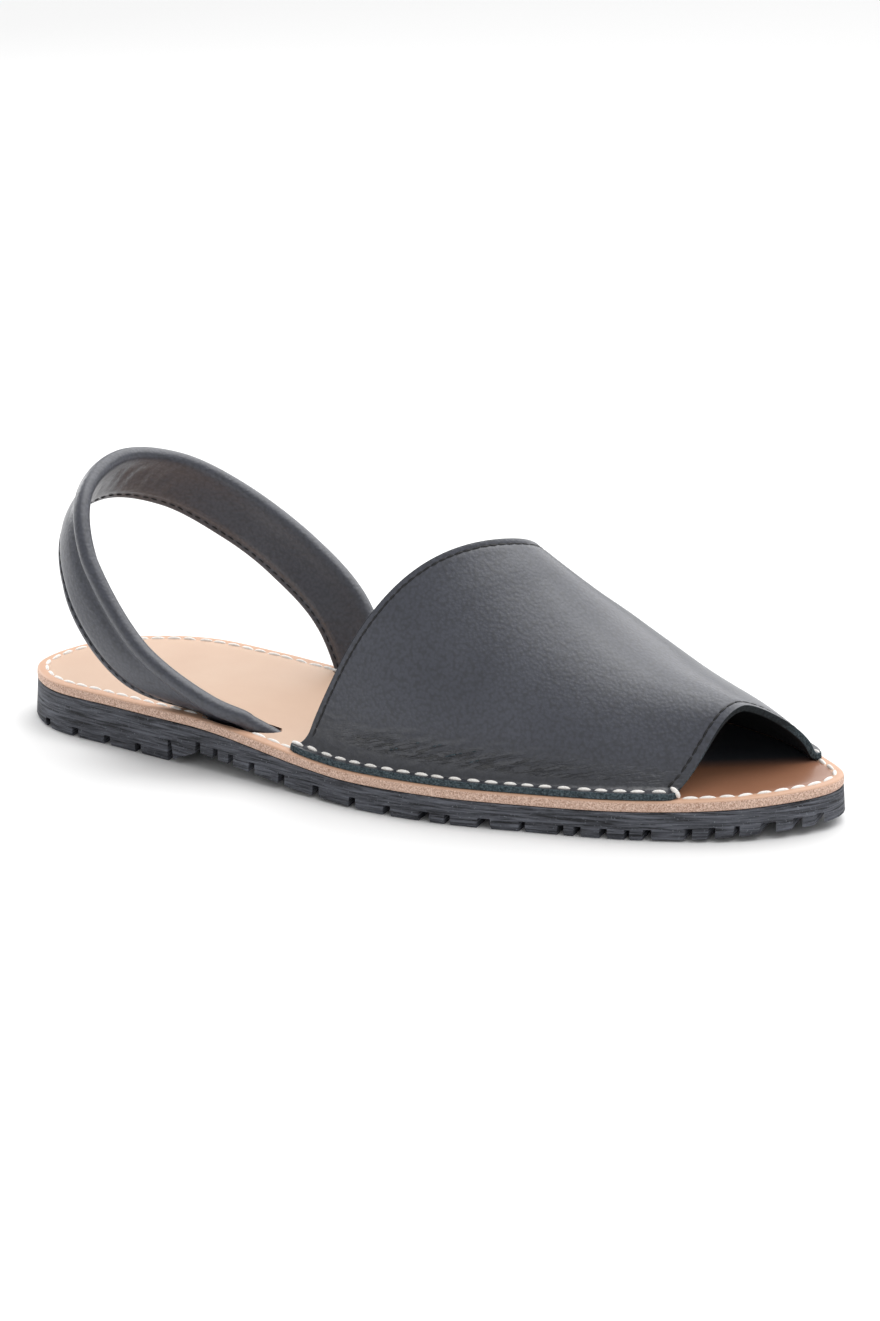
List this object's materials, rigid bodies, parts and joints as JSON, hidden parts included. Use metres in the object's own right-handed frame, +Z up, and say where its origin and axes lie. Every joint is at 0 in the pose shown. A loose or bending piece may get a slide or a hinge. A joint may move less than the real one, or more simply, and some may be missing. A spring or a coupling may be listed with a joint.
{
  "type": "avarca sandal",
  "caption": "Flat slingback sandal: wide peep-toe leather vamp sewn to a leather footbed, rolled heel strap let into slots, and a grooved rubber sole with a low heel.",
  "frame": {"origin": "on the floor, under the middle of the sandal's bounding box", "axes": "+X towards the toe, +Y towards the inner (medial) side of the right foot, +Z up"},
  "size_m": [0.2484, 0.0878, 0.0811],
  "materials": {
    "rubber": "matte blue-black rubber with fine striations",
    "tan_leather": "smooth beige leather, browner at the toe",
    "black_leather": "satin black leather with a fine grain"
  },
  "bodies": {
    "root": {"outsole": "rubber", "footbed": "tan_leather", "vamp": "black_leather", "heel_strap": "black_leather"}
  },
  "joints": []
}
